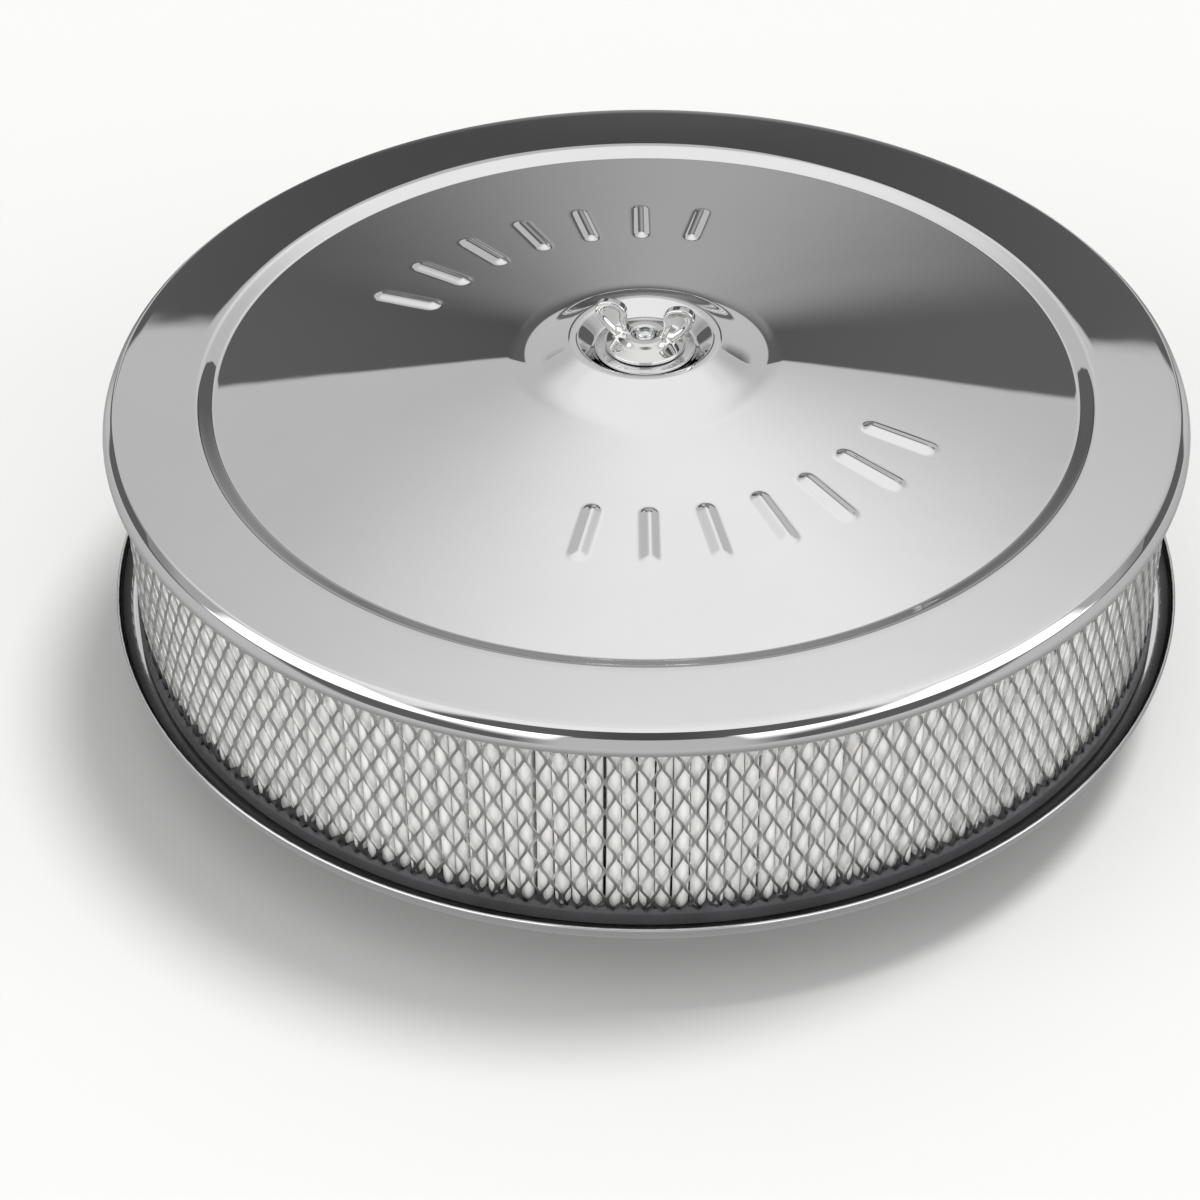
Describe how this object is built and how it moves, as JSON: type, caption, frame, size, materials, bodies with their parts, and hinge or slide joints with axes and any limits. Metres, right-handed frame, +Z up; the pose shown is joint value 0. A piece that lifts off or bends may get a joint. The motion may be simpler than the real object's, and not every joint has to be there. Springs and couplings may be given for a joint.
{
  "type": "air filter housing",
  "caption": "Round chromed carburettor air cleaner: pressed lid and dropped base pan round a pleated paper element, held down by a wing nut on a centre stud.",
  "frame": {"origin": "centre of the carburettor opening, in the plane of the neck gasket's underside", "axes": "+Z up along the centre stud; -Y is the side that the wing nut's right-hand wing leans towards"},
  "size_m": [0.363, 0.363, 0.1337],
  "materials": {
    "chrome_sheet": "mirror chrome plate on pressed steel",
    "nut_chrome": "chrome plate on a die casting",
    "zinc_steel": "bright zinc plate",
    "expanded_metal": "galvanised expanded metal",
    "filter_paper": "matt resin-treated paper",
    "seal_rubber": "satin moulded urethane",
    "gasket_foam": "matt closed-cell foam"
  },
  "bodies": {
    "base": {"base_plate": "chrome_sheet", "neck_gasket": "gasket_foam", "center_stud": "zinc_steel"},
    "element": {"filter_paper": "filter_paper", "outer_screen": "expanded_metal", "inner_screen": "expanded_metal", "top_seal": "seal_rubber", "bottom_seal": "seal_rubber", "pleat_clip": "zinc_steel"},
    "lid": {"lid": "chrome_sheet"},
    "washer": {"nut_washer": "zinc_steel"},
    "wing_nut": {"wing_nut": "nut_chrome"}
  },
  "joints": [
    {"name": "element_lift", "type": "slide", "parent": "base", "child": "element", "axis": [0, 0, 1], "range_m": [0, 0.12]},
    {"name": "lid_lift", "type": "slide", "parent": "element", "child": "lid", "axis": [0, 0, 1], "range_m": [0, 0.12]},
    {"name": "wing_nut_turn", "type": "hinge", "parent": "lid", "child": "washer", "pos_m": [0, 0, 0.1173], "axis": [0, 0, 1], "range_deg": [0, 1440]},
    {"name": "wing_nut_travel", "type": "slide", "parent": "washer", "child": "wing_nut", "axis": [0, 0, 1], "range_m": [0, 0.0051]}
  ],
  "couplings": [
    {"joint": "wing_nut_travel", "follows": "wing_nut_turn", "m_per_rad": 0.00020213}
  ]
}
